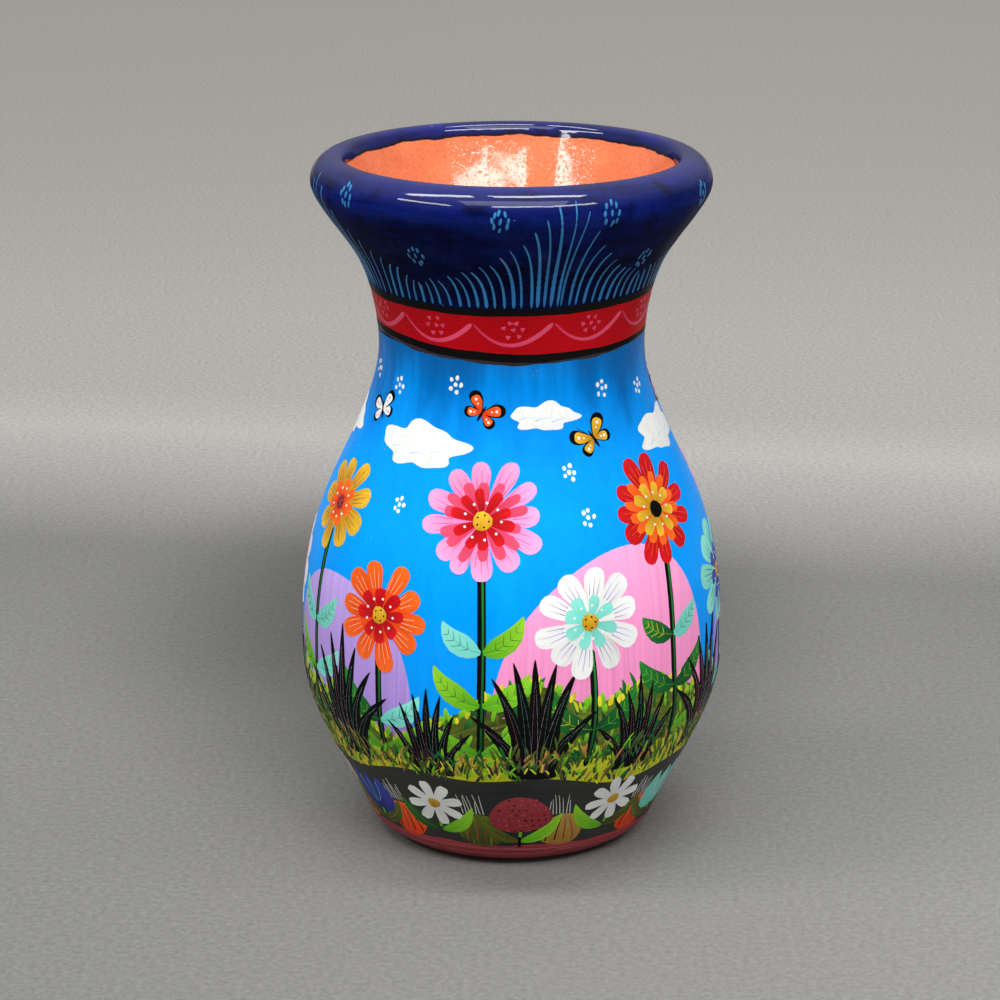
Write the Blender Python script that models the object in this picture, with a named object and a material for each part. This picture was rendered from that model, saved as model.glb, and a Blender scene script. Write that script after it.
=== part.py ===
"""A painted earthenware vase, made as a potter makes it: clay sections luted together on slip seams.

The vase stands on z = 0 and its axis is +Z. Every section is turned about that axis from a closed
outline. Neighbouring sections meet on a bevelled seam, whose thin gap is the bed of slip.
"""

import math

import bmesh
import bpy

# Rises from one station of the outer wall to the next, from the table up to the crest of the rim
BELLY_RISE = 0.069
SHOULDER_RISE = 0.059
NECK_RISE = 0.0577
COLLAR_RISE = 0.0303
RIM_RISE = 0.038

# Radii of the outer wall at its stations
HEEL_RADIUS = 0.0539
BELLY_RADIUS = 0.0775
SHOULDER_RADIUS = 0.0688
NECK_RADIUS = 0.0483
COLLAR_RADIUS = 0.0547
RIM_RADIUS = 0.0721

# Leans of the wall: outward run per unit of rise, zero at the belly and the neck. The mouth's is
# the inner wall's lean where it reaches the lip.
HEEL_LEAN = 0.434
SHOULDER_LEAN = -0.391
COLLAR_LEAN = 0.454
RIM_LEAN = 0.516
MOUTH_LEAN = 0.35

# Rounds of the heel and of the floor's inner corner
HEEL_ROUND = 0.017
FLOOR_ROUND = 0.012

# The rim's cross-section: a full outer round, a narrow crest and a tighter round at the mouth
RIM_ROUND = 0.0089
CREST_WIDTH = 0.0004
LIP_ROUND = 0.003

# Thicknesses of the clay, square to its surface
FLOOR = 0.008
WALL = 0.007
COLLAR_WALL = 0.0085

# Seams: the climb from the outer face to the inner face, the bed of slip, and where they lie
SEAM_RISE = 0.003
SLIP_BED = 0.0003
BAND_LIFT = 0.0053
BAND_HEIGHT = 0.0176
RIM_SEAM_DROP = 0.005

# Fineness of the turned surface
TURN_STEPS = 64
ROUND_STEPS = 5
WALL_STEP = 0.009

# Paints: linear colour and roughness
MAROON = ((0.17, 0.03, 0.035), 0.25)
SKY_BLUE = ((0.0, 0.22, 0.75), 0.22)
MEADOW_GREEN = ((0.11, 0.17, 0.02), 0.25)
SCARLET = ((0.47, 0.01, 0.015), 0.22)
COBALT = ((0.008, 0.01, 0.14), 0.15)

# Heights that follow from the rises
HEEL_TURN = math.atan2(1.0, HEEL_LEAN)
HEEL_HEIGHT = HEEL_ROUND * (1.0 - math.cos(HEEL_TURN))
BELLY_HEIGHT = BELLY_RISE
SHOULDER_HEIGHT = BELLY_HEIGHT + SHOULDER_RISE
NECK_HEIGHT = SHOULDER_HEIGHT + NECK_RISE
COLLAR_HEIGHT = NECK_HEIGHT + COLLAR_RISE
HEIGHT = COLLAR_HEIGHT + RIM_RISE

# The rim's outer round is an arc about this centre, which the wall meets at RIM_LEAN
RIM_TURN = math.atan(RIM_LEAN)
ROLL_RADIUS = RIM_RADIUS - RIM_ROUND
ROLL_HEIGHT = HEIGHT - RIM_ROUND
RIM_FOOT_RADIUS = ROLL_RADIUS + RIM_ROUND * math.cos(RIM_TURN)
RIM_FOOT_HEIGHT = ROLL_HEIGHT - RIM_ROUND * math.sin(RIM_TURN)

# The lip's round ends where the mouth's inner wall leaves it at MOUTH_LEAN
MOUTH_TURN = math.atan2(1.0, MOUTH_LEAN)
LIP_RADIUS = ROLL_RADIUS - CREST_WIDTH
MOUTH_RADIUS = LIP_RADIUS - LIP_ROUND * math.sin(MOUTH_TURN)
MOUTH_HEIGHT = HEIGHT - LIP_ROUND * (1.0 - math.cos(MOUTH_TURN))


def across(thickness, lean):
    """The level run through a wall of this thickness that leans this much."""
    return thickness * math.hypot(1.0, lean)


# A station is (height, radius, lean)
OUTER_STATIONS = [
    (HEEL_HEIGHT, HEEL_RADIUS, HEEL_LEAN),
    (BELLY_HEIGHT, BELLY_RADIUS, 0.0),
    (SHOULDER_HEIGHT, SHOULDER_RADIUS, SHOULDER_LEAN),
    (NECK_HEIGHT, NECK_RADIUS, 0.0),
    (COLLAR_HEIGHT, COLLAR_RADIUS, COLLAR_LEAN),
    (RIM_FOOT_HEIGHT, RIM_FOOT_RADIUS, RIM_LEAN),
]


def station_radius(stations, height):
    """The wall's radius at a height, on a smooth cubic between the two stations around it."""
    for low, high in zip(stations, stations[1:]):
        if height <= high[0]:
            break
    rise = high[0] - low[0]
    t = (height - low[0]) / rise
    keep_low = (1.0 + 2.0 * t) * (1.0 - t) ** 2
    lean_low = t * (1.0 - t) ** 2 * rise
    keep_high = t * t * (3.0 - 2.0 * t)
    lean_high = t * t * (t - 1.0) * rise
    return keep_low * low[1] + lean_low * low[2] + keep_high * high[1] + lean_high * high[2]


def outer_radius(height):
    """The outer wall's radius between the heel and the rim's round."""
    return station_radius(OUTER_STATIONS, height)


CORNER_HEIGHT = FLOOR + FLOOR_ROUND * (1.0 - math.cos(HEEL_TURN))
CORNER_RADIUS = outer_radius(CORNER_HEIGHT) - across(WALL, HEEL_LEAN)
INNER_STATIONS = [
    (CORNER_HEIGHT, CORNER_RADIUS, HEEL_LEAN),
    (BELLY_HEIGHT, BELLY_RADIUS - WALL, 0.0),
    (SHOULDER_HEIGHT, SHOULDER_RADIUS - across(WALL, SHOULDER_LEAN), SHOULDER_LEAN),
    (NECK_HEIGHT, NECK_RADIUS - WALL, 0.0),
    (COLLAR_HEIGHT, COLLAR_RADIUS - across(COLLAR_WALL, COLLAR_LEAN), COLLAR_LEAN),
    (MOUTH_HEIGHT, MOUTH_RADIUS, MOUTH_LEAN),
]


def inner_radius(height):
    """The inner wall's radius between the floor's corner and the lip's round."""
    return station_radius(INNER_STATIONS, height)


def wall_line(radius_at, start, end):
    """Points of a wall from one height to another, both ends included, about WALL_STEP apart."""
    steps = max(2, math.ceil(abs(end - start) / WALL_STEP))
    heights = [start + (end - start) * i / steps for i in range(steps + 1)]
    return [(radius_at(h), h) for h in heights]


def arc(centre, radius, start, end):
    """Points of an arc in the outline's plane, both ends included. Angle zero points outwards."""
    steps = [start + (end - start) * i / ROUND_STEPS for i in range(ROUND_STEPS + 1)]
    return [(centre[0] + radius * math.cos(a), centre[1] + radius * math.sin(a)) for a in steps]


def paint(name, finish):
    """A material with the finish's colour and roughness."""
    colour, roughness = finish
    material = bpy.data.materials.new(name)
    material.use_nodes = True
    shader = material.node_tree.nodes["Principled BSDF"]
    shader.inputs["Base Color"].default_value = (*colour, 1.0)
    shader.inputs["Roughness"].default_value = roughness
    shader.inputs["Metallic"].default_value = 0.0
    return material


def turned(name, outline, closed, material):
    """A solid turned about +Z from an outline that runs down its outer side."""
    mesh = bpy.data.meshes.new(name)
    shape = bmesh.new()
    corners = [shape.verts.new((radius, 0.0, height)) for radius, height in outline]
    for low, high in zip(corners, corners[1:]):
        shape.edges.new((low, high))
    if closed:
        shape.edges.new((corners[-1], corners[0]))
    shape.to_mesh(mesh)
    shape.free()
    mesh.materials.append(material)
    section = bpy.data.objects.new(name, mesh)
    bpy.context.scene.collection.objects.link(section)
    wheel = section.modifiers.new("wheel", "SCREW")
    wheel.axis = "Z"
    wheel.angle = math.tau
    wheel.steps = TURN_STEPS
    wheel.render_steps = TURN_STEPS
    wheel.use_merge_vertices = True
    wheel.merge_threshold = 0.00005
    wheel.use_smooth_shade = True
    return section


def wall_seam(height):
    """A seam through the wall, as the heights of its outer edge and its inner edge."""
    return (height, height + SEAM_RISE)


def below(seam):
    """The heights at which the section under a seam ends, half a bed of slip lower."""
    return [height - SLIP_BED / 2.0 for height in seam]


def above(seam):
    """The heights at which the section over a seam starts, half a bed of slip higher."""
    return [height + SLIP_BED / 2.0 for height in seam]


def wall_section(name, low_seam, high_seam, material):
    """A ring of wall between two seams."""
    outer_low, inner_low = above(low_seam)
    outer_high, inner_high = below(high_seam)
    outside = wall_line(outer_radius, outer_high, outer_low)
    inside = wall_line(inner_radius, inner_low, inner_high)
    return turned(name, outside + inside, True, material)


def floor_slab(high_seam, material):
    """The floor: a dish with a rounded heel, whose raised margin carries the lower bowl."""
    outer_high, inner_high = below(high_seam)
    heel_centre = (HEEL_RADIUS - HEEL_ROUND * math.sin(HEEL_TURN), HEEL_ROUND)
    corner_centre = (CORNER_RADIUS - FLOOR_ROUND * math.sin(HEEL_TURN), FLOOR + FLOOR_ROUND)
    straight_down = -math.pi / 2.0
    heel_turn = math.acos(1.0 - outer_high / HEEL_ROUND)
    corner_turn = math.acos(1.0 - (inner_high - FLOOR) / FLOOR_ROUND)
    corner = arc(corner_centre, FLOOR_ROUND, straight_down, straight_down + corner_turn)
    heel = arc(heel_centre, HEEL_ROUND, straight_down + heel_turn, straight_down)
    outline = [(0.0, FLOOR), *corner, *heel, (0.0, 0.0)]
    return turned("floor_slab", outline, False, material)


def rim_roll(low_seam, material):
    """The thick rim: a coil rolled outwards over the collar's edge, with a tighter inner lip."""
    outer_low, inner_low = above(low_seam)
    straight_up = math.pi / 2.0
    roll = arc((ROLL_RADIUS, ROLL_HEIGHT), RIM_ROUND, straight_up, -RIM_TURN)
    lip = arc((LIP_RADIUS, HEIGHT - LIP_ROUND), LIP_ROUND, straight_up + MOUTH_TURN, straight_up)
    outside = wall_line(outer_radius, RIM_FOOT_HEIGHT, outer_low)
    inside = wall_line(inner_radius, inner_low, MOUTH_HEIGHT)
    return turned("rim_roll", roll + outside[1:] + inside + lip[1:], True, material)


def main():
    for leftover in list(bpy.data.objects):
        bpy.data.objects.remove(leftover)
    foot_seam = (HEEL_HEIGHT, CORNER_HEIGHT)
    belly_seam = wall_seam(BELLY_HEIGHT)
    band_low_seam = wall_seam(NECK_HEIGHT + BAND_LIFT)
    band_high_seam = wall_seam(NECK_HEIGHT + BAND_LIFT + BAND_HEIGHT)
    rim_seam = wall_seam(RIM_FOOT_HEIGHT - RIM_SEAM_DROP)
    floor_slab(foot_seam, paint("maroon_foot", MAROON))
    wall_section("lower_bowl", foot_seam, belly_seam, paint("meadow_paint", MEADOW_GREEN))
    wall_section("shoulder", belly_seam, band_low_seam, paint("sky_paint", SKY_BLUE))
    wall_section("neck_ring", band_low_seam, band_high_seam, paint("scarlet_band", SCARLET))
    wall_section("collar", band_high_seam, rim_seam, paint("cobalt_collar", COBALT))
    rim_roll(rim_seam, paint("cobalt_rim", COBALT))


main()
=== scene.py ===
# %% [markdown]
# # A hand-painted earthenware vase
# The vase is low-fired clay, painted all over with a brush and then varnished. The clay sections come
# from the CAD frame. This lesson dresses them: it turns fine walls on the same outline, lays every brush
# stroke on them as a thin film of paint, and lights the result like a product photograph.

# %% Load the frame
import math
import random

import bpy
import mathutils
import numpy as np
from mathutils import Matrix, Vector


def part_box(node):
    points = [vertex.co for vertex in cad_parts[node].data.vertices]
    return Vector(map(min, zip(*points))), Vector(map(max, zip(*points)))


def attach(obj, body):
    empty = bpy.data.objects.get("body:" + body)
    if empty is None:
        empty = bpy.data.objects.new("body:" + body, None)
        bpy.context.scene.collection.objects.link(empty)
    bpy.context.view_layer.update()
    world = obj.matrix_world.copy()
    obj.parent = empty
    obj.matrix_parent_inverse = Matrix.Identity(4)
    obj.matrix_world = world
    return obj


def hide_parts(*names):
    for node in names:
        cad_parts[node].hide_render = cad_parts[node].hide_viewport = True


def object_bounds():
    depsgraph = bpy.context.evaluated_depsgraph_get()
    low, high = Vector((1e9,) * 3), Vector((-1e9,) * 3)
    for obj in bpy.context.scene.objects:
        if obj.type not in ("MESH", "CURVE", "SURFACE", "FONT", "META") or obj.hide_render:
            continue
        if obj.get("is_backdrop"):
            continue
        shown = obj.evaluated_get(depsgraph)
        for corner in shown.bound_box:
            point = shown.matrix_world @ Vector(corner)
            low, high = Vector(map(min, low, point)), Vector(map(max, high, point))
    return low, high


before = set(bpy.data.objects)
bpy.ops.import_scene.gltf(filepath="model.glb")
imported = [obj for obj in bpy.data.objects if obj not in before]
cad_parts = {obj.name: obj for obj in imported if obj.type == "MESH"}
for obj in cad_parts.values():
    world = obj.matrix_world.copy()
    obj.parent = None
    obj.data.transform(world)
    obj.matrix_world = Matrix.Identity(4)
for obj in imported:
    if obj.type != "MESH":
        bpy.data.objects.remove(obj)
cad_low, cad_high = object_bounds()
bpy.ops.object.select_all(action="DESELECT")
MM = 0.001
print("CAD box in mm:", [round(x / MM, 1) for x in (*cad_low, *cad_high)])

# %% [markdown]
# ## The camera
# The photograph looks down on the vase from more than a metre away through a longish lens. The camera
# comes first, so that every later step can be judged in the same view.

# %% Place the camera
CAMERA_BACK = 1.2
CAMERA_HEIGHT = 0.48
CAMERA_SIDE = -0.0042
CAMERA_DIP = math.radians(16.495)
LENS = 122.56

bpy.ops.object.camera_add(
    location=(CAMERA_SIDE, -CAMERA_BACK, CAMERA_HEIGHT),
    rotation=(math.pi / 2 - CAMERA_DIP, 0.0, 0.0),
)
camera = bpy.context.object
camera.name = "photo_camera"
camera.data.lens = LENS
camera.data.sensor_width = 36.0
bpy.context.scene.camera = camera
bpy.context.scene.view_settings.view_transform = "Standard"
print("camera at", [round(x, 3) for x in camera.location])

# %% [markdown]
# ## The outline
# A turned vessel is known by its outline. The stations below are the frame's own: a height, a radius and
# the wall's lean, in millimetres. A smooth cubic joins them, and arcs round the heel, the rim and the
# floor's corner. The last cell measures how far the frame's corners lie from this outline.

# %% Name the stations
TOP = cad_high.z / MM
HEEL_ROUND, HEEL_RADIUS, HEEL_LEAN = 17.0, 53.9, 0.434
RIM_ROUND, RIM_RADIUS, RIM_LEAN = 8.9, 72.1, 0.516
LIP_ROUND, LIP_RADIUS, MOUTH_LEAN = 3.0, 62.8, 0.35
FLOOR, FLOOR_ROUND, CORNER_RADIUS = 8.0, 12.0, 48.45
SHOULDER = [(69.0, 77.5, 0.0), (128.0, 68.8, -0.391), (185.7, 48.3, 0.0), (216.0, 54.7, 0.454)]
HOLLOW = [(69.0, 70.5, 0.0), (128.0, 61.28, -0.391), (185.7, 41.3, 0.0), (216.0, 45.37, 0.454)]
FINE = 0.25
print("the outline rises %.1f mm and is widest at %.1f mm" % (TOP, SHOULDER[0][0]))

# %% Draw the walls
def arc(radius, height, bend, start, end):
    """Points of an arc of radius bend about (radius, height), as rows. Angle zero points outwards."""
    turn = np.linspace(start, end, max(3, int(abs(end - start) * bend / FINE)))
    return np.stack([radius + bend * np.cos(turn), height + bend * np.sin(turn)], axis=1)


def through(stations):
    """Points of the smooth wall that passes through stations of height, radius and lean."""
    walls = []
    for (z0, r0, lean0), (z1, r1, lean1) in zip(stations, stations[1:]):
        rise = z1 - z0
        t = np.linspace(0.0, 1.0, int(abs(rise) / FINE) + 1)[:-1]
        low = (1 + 2 * t) * (1 - t) ** 2 * r0 + t * (1 - t) ** 2 * rise * lean0
        high = t * t * (3 - 2 * t) * r1 + t * t * (t - 1) * rise * lean1
        walls.append(np.stack([low + high, z0 + rise * t], axis=1))
    return np.concatenate(walls)


down = -math.pi / 2
heel_turn = math.atan2(1.0, HEEL_LEAN)
heel = arc(HEEL_RADIUS - HEEL_ROUND * math.sin(heel_turn), HEEL_ROUND, HEEL_ROUND, down, down + heel_turn)
rim_turn = math.atan(RIM_LEAN)
roll = arc(RIM_RADIUS - RIM_ROUND, TOP - RIM_ROUND, RIM_ROUND, -rim_turn, -down)
outer_stations = [(heel[-1][1], heel[-1][0], HEEL_LEAN), *SHOULDER, (roll[0][1], roll[0][0], RIM_LEAN)]
outer_wall = np.concatenate([heel[:-1], through(outer_stations), roll])

mouth_turn = math.atan2(1.0, MOUTH_LEAN)
lip = arc(LIP_RADIUS, TOP - LIP_ROUND, LIP_ROUND, -down + mouth_turn, -down)
corner_centre = CORNER_RADIUS - FLOOR_ROUND * math.sin(heel_turn)
corner = arc(corner_centre, FLOOR + FLOOR_ROUND, FLOOR_ROUND, down, down + heel_turn)
inner_stations = [(corner[-1][1], corner[-1][0], HEEL_LEAN), *HOLLOW, (lip[0][1], lip[0][0], MOUTH_LEAN)]
inner_wall = np.concatenate([corner[:-1], through(inner_stations), lip])
print("outer wall", len(outer_wall), "points, inner wall", len(inner_wall), "points")

# %% Measure the frame against the outline
NEAR_AXIS = 1.0
outline = np.concatenate([outer_wall, inner_wall])
worst = 0.0
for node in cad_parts.values():
    corners = set()
    for vertex in node.data.vertices:
        x, y, z = vertex.co / MM
        corners.add((round(math.hypot(x, y), 3), round(z, 3)))
    walls = np.array([place for place in corners if place[0] > NEAR_AXIS])
    gaps = np.hypot(walls[:, None, 0] - outline[None, :, 0], walls[:, None, 1] - outline[None, :, 1])
    worst = max(worst, gaps.min(axis=1).max())
print("farthest frame corner from the outline: %.2f mm" % worst)

# %% [markdown]
# ## Places on the wall
# Paint is planned flat and laid on a round wall. A place on the wall is an angle about the axis, zero at
# the front and growing to the right, and a distance up the wall from the edge of the base. A hand-made
# wall is never quite round, so a slow wobble of a few tenths of a millimetre is added to its radius, to
# the clay and the paint alike. It fades out at the base, so the vase stands flat.

# %% Measure along the wall
steps = np.hypot(*np.diff(outer_wall, axis=0).T)
wall_along = np.concatenate([[0.0], np.cumsum(steps)])
wall_slope = np.gradient(outer_wall, wall_along, axis=0)
wall_slope /= np.hypot(wall_slope[:, 0], wall_slope[:, 1])[:, None]
STEADY = 30.0


def up_to(height):
    """The distance up the wall, in mm, at a height in mm."""
    return np.interp(height, outer_wall[:, 1], wall_along)


def wobble(angle, height):
    """How far, in mm, the hand-made wall strays from the true round."""
    stray = 0.22 * np.sin(2 * angle + 0.7) + 0.12 * np.sin(3 * angle + height / 40.0)
    stray = stray + 0.06 * np.sin(5 * angle - height / 23.0) + 0.05 * np.sin(height / 5.5 + 2 * angle)
    return stray * np.clip(height / STEADY, 0.0, 1.0)


def on_wall(angle, along, lift):
    """Places in metres, one row each, of points at an angle, a way up the wall and a lift off it in mm."""
    radius = np.interp(along, wall_along, outer_wall[:, 0])
    height = np.interp(along, wall_along, outer_wall[:, 1])
    lean = np.interp(along, wall_along, wall_slope[:, 0])
    climb = np.interp(along, wall_along, wall_slope[:, 1])
    out = radius + wobble(angle, height) + lift * climb
    return np.stack([out * np.sin(angle), -out * np.cos(angle), height - lift * lean], axis=-1) * MM


print("the wall is %.1f mm from the base's edge to the crest" % wall_along[-1])

# %% [markdown]
# ## Shader helpers
# A finish is a tree of shader nodes. Wiring each node by hand hides the idea, so a few helpers come first.
# Some add a node, fill its sockets and give back its result. The others pick a colour, and blend and shade
# colours. Each term of a sum may be a plain number or the socket of another node.

# %% Write the wiring helpers
def fill(tree, socket, term):
    """Give a socket a plain value, or join another socket to it."""
    if isinstance(term, bpy.types.NodeSocket):
        tree.links.new(term, socket)
    else:
        socket.default_value = term


def wire(tree, kind, **settings):
    """A new shader node. Settings that name a socket fill it, and the others set the node itself."""
    node = tree.nodes.new(kind)
    for key, value in settings.items():
        if hasattr(node, key):
            setattr(node, key, value)
        else:
            fill(tree, node.inputs[key.replace("_", " ")], value)
    return node


def reckon(tree, operation, *terms):
    """A Math node's result."""
    node = wire(tree, "ShaderNodeMath", operation=operation)
    for socket, term in zip(node.inputs, terms):
        fill(tree, socket, term)
    return node.outputs[0]


def spread(tree, value, low, high, first=0.0, last=1.0):
    """A number that goes from first to last while a value goes from low to high, and stays at each end."""
    span = {"From_Min": low, "From_Max": high, "To_Min": first, "To_Max": last}
    return wire(tree, "ShaderNodeMapRange", Value=value, **span).outputs[0]


def noise(tree, place, scale, detail, roughness=0.5):
    """A cloudy noise, from 0 to 1."""
    settings = {"Scale": scale, "Detail": detail, "Roughness": roughness}
    return wire(tree, "ShaderNodeTexNoise", Vector=place, **settings).outputs[0]


print("wiring helpers:", ", ".join(helper.__name__ for helper in (fill, wire, reckon, spread, noise)))

# %% Write the colour helpers
def tint(red, green, blue):
    """A colour picked on the usual 0 to 255 scale, as the linear values a shader takes."""
    picked = np.array([red, green, blue]) / 255.0
    linear = np.where(picked > 0.04045, ((picked + 0.055) / 1.055) ** 2.4, picked / 12.92)
    return (*(float(x) for x in linear), 1.0)


def blended(tree, share, first, second, how="MIX"):
    """The colour between two colours, by a share."""
    node = wire(tree, "ShaderNodeMix", data_type="RGBA", blend_type=how)
    for socket, term in zip((node.inputs[0], node.inputs[6], node.inputs[7]), (share, first, second)):
        fill(tree, socket, term)
    return node.outputs[2]


def shaded(tree, colour, shade):
    """A colour made lighter or darker by a shade, which is 1 where the colour stays."""
    grey = wire(tree, "ShaderNodeCombineColor", Red=shade, Green=shade, Blue=shade).outputs[0]
    return blended(tree, 1.0, colour, grey, "MULTIPLY")


def ramp(tree, value, stops):
    """The colour at a value, from a list of positions and colours."""
    node = wire(tree, "ShaderNodeValToRGB", Fac=value)
    while len(node.color_ramp.elements) < len(stops):
        node.color_ramp.elements.new(0.5)
    for element, (position, colour) in zip(node.color_ramp.elements, stops):
        element.position = position
        element.color = colour
    return node.outputs[0]


print("a middle grey of 128 is %.3f in linear light" % tint(128, 128, 128)[0])

# %% [markdown]
# ## Brush paints
# Each paint is a thin colour under a clear varnish. The colour is never even: a brush leaves streaks along
# its stroke, and every stroke takes a little more or less pigment. So each painted film carries an attribute
# called touch, which says for every point how far along its stroke it lies, how far across, and which stroke
# it is. The paint reads its streaks from there. The varnish is the shader's coat.

# %% Write the brush paint
COAT_WEIGHT = 0.36
COAT_ROUGHNESS = 0.045


def varnished(name, coat=COAT_WEIGHT):
    """A new material under clear varnish, with its node tree and its shader."""
    material = bpy.data.materials.new(name)
    material.use_nodes = True
    shader = material.node_tree.nodes["Principled BSDF"]
    shader.inputs["Coat Weight"].default_value = coat
    shader.inputs["Coat Roughness"].default_value = COAT_ROUGHNESS
    shader.inputs["Specular IOR Level"].default_value = 0.0
    return material, material.node_tree, shader


def ripple(tree, shader):
    """Let the varnish lie a little unevenly, so that reflections wander as they do on brushed varnish."""
    swell = noise(tree, wire(tree, "ShaderNodeTexCoord").outputs["Object"], 95.0, 2.0)
    bump = wire(tree, "ShaderNodeBump", Strength=0.5, Distance=0.3 * MM, Height=swell)
    tree.links.new(bump.outputs[0], shader.inputs["Coat Normal"])


def brush_paint(name, root, tip=None, ground=None, dry=0.0, uneven=0.8, coat=COAT_WEIGHT):
    """A paint that runs from root to tip along its stroke. Where it is dry, the ground shows through."""
    material, tree, shader = varnished(name, coat)
    touch = wire(tree, "ShaderNodeAttribute", attribute_name="touch").outputs["Vector"]
    axes = wire(tree, "ShaderNodeSeparateXYZ", Vector=touch)
    along, stroke = axes.outputs[0], axes.outputs[2]
    hairs = wire(tree, "ShaderNodeMapping", Vector=touch, Scale=(0.8, 3.2, 9.7)).outputs[0]
    streak = noise(tree, hairs, 1.6, 2.0)
    pigment = wire(tree, "ShaderNodeTexWhiteNoise", noise_dimensions="1D", W=stroke).outputs[0]
    shade = reckon(tree, "MULTIPLY_ADD", streak, uneven, 0.88 - uneven / 2)
    shade = reckon(tree, "MULTIPLY_ADD", pigment, 0.22, shade)
    colour = shaded(tree, blended(tree, along, root, tip or root), shade)
    if ground:
        colour = blended(tree, spread(tree, streak, 0.5, 0.72, 0.0, dry), colour, ground)
    tree.links.new(colour, shader.inputs["Base Color"])
    tree.links.new(reckon(tree, "MULTIPLY_ADD", streak, 0.25, 0.25), shader.inputs["Roughness"])
    ridges = wire(tree, "ShaderNodeBump", Strength=0.25, Distance=0.05 * MM, Height=streak)
    tree.links.new(ridges.outputs[0], shader.inputs["Normal"])
    ripple(tree, shader)
    return material


print("varnish: coat weight %.2f, coat roughness %.3f" % (COAT_WEIGHT, COAT_ROUGHNESS))

# %% Mix the brush paints
SKY = tint(8, 128, 215)
NIGHT = tint(6, 9, 52)
PAINTS = {
    "black": brush_paint("black_line", tint(6, 6, 6), tint(11, 10, 10), coat=0.2),
    "charcoal": brush_paint("charcoal", tint(38, 39, 41), tint(52, 52, 50)),
    "white": brush_paint("white", tint(226, 226, 220), tint(240, 240, 235), SKY, 0.25),
    "mist": brush_paint("cloud_shade", tint(176, 200, 226), tint(220, 230, 240)),
    "scarlet": brush_paint("scarlet_band", tint(160, 2, 12), tint(170, 4, 16), coat=0.22),
    "rose": brush_paint("rose_line", tint(202, 52, 90), tint(220, 80, 110), tint(186, 10, 28), 0.5),
    "maroon": brush_paint("maroon", tint(140, 46, 54), tint(160, 60, 66), tint(96, 28, 36), 0.7),
    "blush": brush_paint("blush_streak", tint(164, 82, 86), tint(184, 102, 104), tint(120, 42, 50), 0.8),
    "brown": brush_paint("dry_brown", tint(42, 28, 17), tint(54, 38, 24), tint(16, 70, 120), 0.7),
    "turquoise": brush_paint("turquoise_hair", tint(40, 114, 170), tint(58, 132, 182), NIGHT, 0.6),
    "aqua": brush_paint("aqua", tint(110, 208, 194), tint(140, 222, 206), tint(60, 150, 150), 0.3),
    "pink": brush_paint("pink", tint(226, 104, 170), tint(244, 160, 204), uneven=0.45),
    "red": brush_paint("red", tint(150, 8, 16), tint(206, 22, 28)),
    "orange": brush_paint("orange", tint(214, 52, 14), tint(244, 104, 34)),
    "mustard": brush_paint("mustard", tint(176, 120, 20), tint(224, 178, 48)),
    "lilac": brush_paint("lilac", tint(128, 92, 186), tint(186, 158, 224), uneven=0.45),
    "navy": brush_paint("navy", tint(28, 34, 116), tint(58, 70, 176)),
    "peach": brush_paint("peach", tint(240, 160, 116), tint(250, 196, 158)),
    "leaf": brush_paint("leaf_green", tint(8, 66, 34), tint(34, 128, 48)),
    "lime": brush_paint("lime_green", tint(84, 168, 26), tint(150, 212, 48)),
    "meadow": brush_paint("meadow_yellow", tint(186, 196, 28), tint(206, 212, 40), tint(110, 130, 30), 0.6),
    "yellow": brush_paint("yellow", tint(222, 206, 30), tint(238, 226, 70)),
    "olive": brush_paint("olive", tint(52, 66, 22), tint(92, 110, 34), tint(150, 150, 50), 0.4),
    "ochre": brush_paint("ochre", tint(156, 112, 44), tint(196, 156, 76), tint(90, 90, 30), 0.4),
}
print(len(PAINTS), "brush paints mixed")

# %% [markdown]
# ## Bare clay
# Inside, the clay is bare but for a thin varnish: a warm terracotta with fine grit and a few dark specks.
# One flat orange would look like plastic, so its colour is mixed from a slow noise and a fine one. Small
# pits and a slow swell in its bump break the reflection of a window into sparkles.

# %% Mix the clay
def specks(tree, place, scale, size):
    """A share that is high in a few scattered dots and nothing elsewhere."""
    far = wire(tree, "ShaderNodeTexVoronoi", Vector=place, Scale=scale).outputs[0]
    return spread(tree, far, 0.6 * size, size, 0.75, 0.0)


def clay_colour(tree, place):
    """Terracotta under thin varnish: cloudy and gritty, with a few dark specks."""
    cloud = noise(tree, place, 60.0, 4.0)
    grit = noise(tree, place, 900.0, 3.0)
    colour = ramp(tree, cloud, [(0.3, tint(200, 98, 60)), (0.7, tint(214, 118, 76))])
    sand = ramp(tree, grit, [(0.3, tint(176, 86, 54)), (0.6, tint(244, 152, 110))])
    colour = blended(tree, 0.2, colour, sand)
    return blended(tree, specks(tree, place, 90.0, 0.07), colour, tint(90, 40, 30))


def bare_clay(name):
    """The clay of the inside. Its fine pits break a reflection into sparkles."""
    material, tree, shader = varnished(name, 0.9)
    place = wire(tree, "ShaderNodeTexCoord").outputs["Object"]
    tree.links.new(clay_colour(tree, place), shader.inputs["Base Color"])
    shader.inputs["Roughness"].default_value = 0.5
    shader.inputs["Coat Roughness"].default_value = 0.06
    swell = noise(tree, place, 75.0, 1.0)
    pit = spread(tree, noise(tree, place, 950.0, 1.0), 0.56, 0.8)
    relief = reckon(tree, "SUBTRACT", reckon(tree, "MULTIPLY", swell, 4.0), pit)
    pits = wire(tree, "ShaderNodeBump", Strength=1.0, Distance=0.027 * MM, Height=relief)
    tree.links.new(pits.outputs[0], shader.inputs["Normal"])
    tree.links.new(pits.outputs[0], shader.inputs["Coat Normal"])
    return material


CLAY = bare_clay("bare_terracotta")
print("clay:", CLAY.name, "from", len(CLAY.node_tree.nodes), "nodes")

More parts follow.
